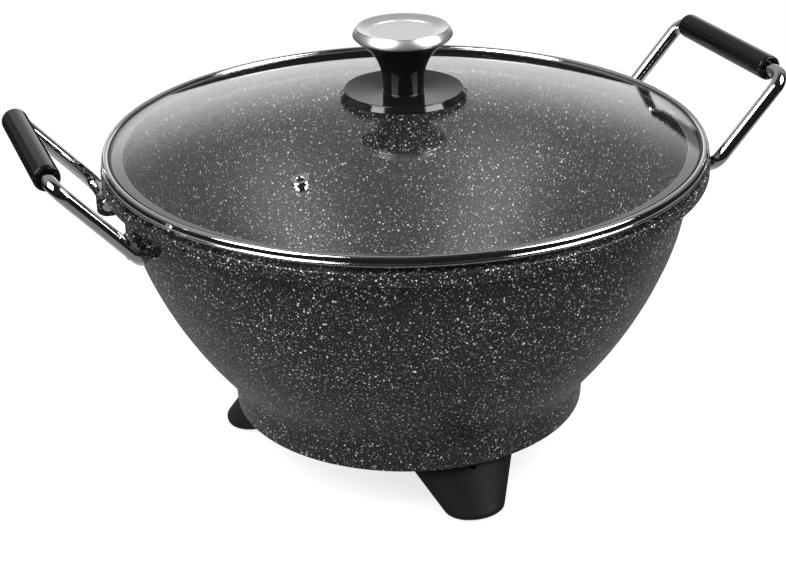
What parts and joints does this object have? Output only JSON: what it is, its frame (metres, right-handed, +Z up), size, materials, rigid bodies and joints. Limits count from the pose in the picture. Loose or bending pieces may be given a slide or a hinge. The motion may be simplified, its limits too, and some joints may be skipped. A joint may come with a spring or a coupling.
{
  "type": "electric wok",
  "caption": "Electric wok: speckled cast bowl on splayed legs, swinging rod handles and a loose domed glass lid with a black knob.",
  "frame": {"origin": "on the ground, under the centre of the bowl, at the middle of the bounding box's bottom", "axes": "+Z up, X from the left handle to the right one, +Y towards the inlet at the back"},
  "size_m": [0.4082, 0.3228, 0.2394],
  "materials": {
    "pan_coating": "satin stone-effect non-stick coating, charcoal with pale speckles, on cast aluminium",
    "element_steel": "drawn steel tube, slightly heat tinted",
    "pin_steel": "bright steel contact pins",
    "guard_steel": "pressed steel sheet, satin",
    "plate_steel": "plain galvanised sheet, satin",
    "leg_phenolic": "black phenolic moulding, satin matte",
    "foot_rubber": "black silicone rubber, matte",
    "screw_steel": "zinc-plated screw steel",
    "rod_chrome": "polished chrome-plated steel rod",
    "grip_plastic": "gloss black phenolic",
    "lid_glass": "clear toughened glass",
    "lid_steel": "polished stainless steel",
    "gasket_silicone": "black silicone, satin",
    "knob_plastic": "gloss black phenolic",
    "cap_steel": "satin stainless steel with a polished bevel",
    "insert_brass": "turned brass"
  },
  "bodies": {
    "pan": {"wok_pan": "pan_coating", "heating_element": "element_steel", "terminal_pin_left": "pin_steel", "terminal_pin_right": "pin_steel", "probe_sleeve": "pin_steel", "inlet_guard": "guard_steel", "inlet_screw_left": "screw_steel", "inlet_screw_right": "screw_steel", "base_plate": "plate_steel", "leg_front": "leg_phenolic", "foot_pad_front": "foot_rubber", "leg_screw_front": "screw_steel", "leg_rear_right": "leg_phenolic", "foot_pad_rear_right": "foot_rubber", "leg_screw_rear_right": "screw_steel", "leg_rear_left": "leg_phenolic", "foot_pad_rear_left": "foot_rubber", "leg_screw_rear_left": "screw_steel"},
    "left_handle": {"handle_rod_left": "rod_chrome", "handle_grip_left": "grip_plastic"},
    "right_handle": {"handle_rod_right": "rod_chrome", "handle_grip_right": "grip_plastic"},
    "lid": {"lid_glass": "lid_glass", "lid_rim": "lid_steel", "lid_gasket": "gasket_silicone", "vent_ferrule": "lid_steel", "knob_body": "knob_plastic", "knob_cap": "cap_steel", "knob_seal": "gasket_silicone", "knob_insert": "insert_brass", "knob_screw": "screw_steel", "knob_washer": "screw_steel"}
  },
  "joints": [
    {"name": "left_handle_swing", "type": "hinge", "parent": "pan", "child": "left_handle", "pos_m": [-0.1566, 0, 0.15615], "axis": [0, 1, 0], "range_deg": [-145, 45]},
    {"name": "right_handle_swing", "type": "hinge", "parent": "pan", "child": "right_handle", "pos_m": [0.1566, 0, 0.15615], "axis": [0, -1, 0], "range_deg": [-145, 45]},
    {"name": "lid_lift", "type": "slide", "parent": "pan", "child": "lid", "axis": [0, 0, 1], "range_m": [0, 0.12]}
  ]
}
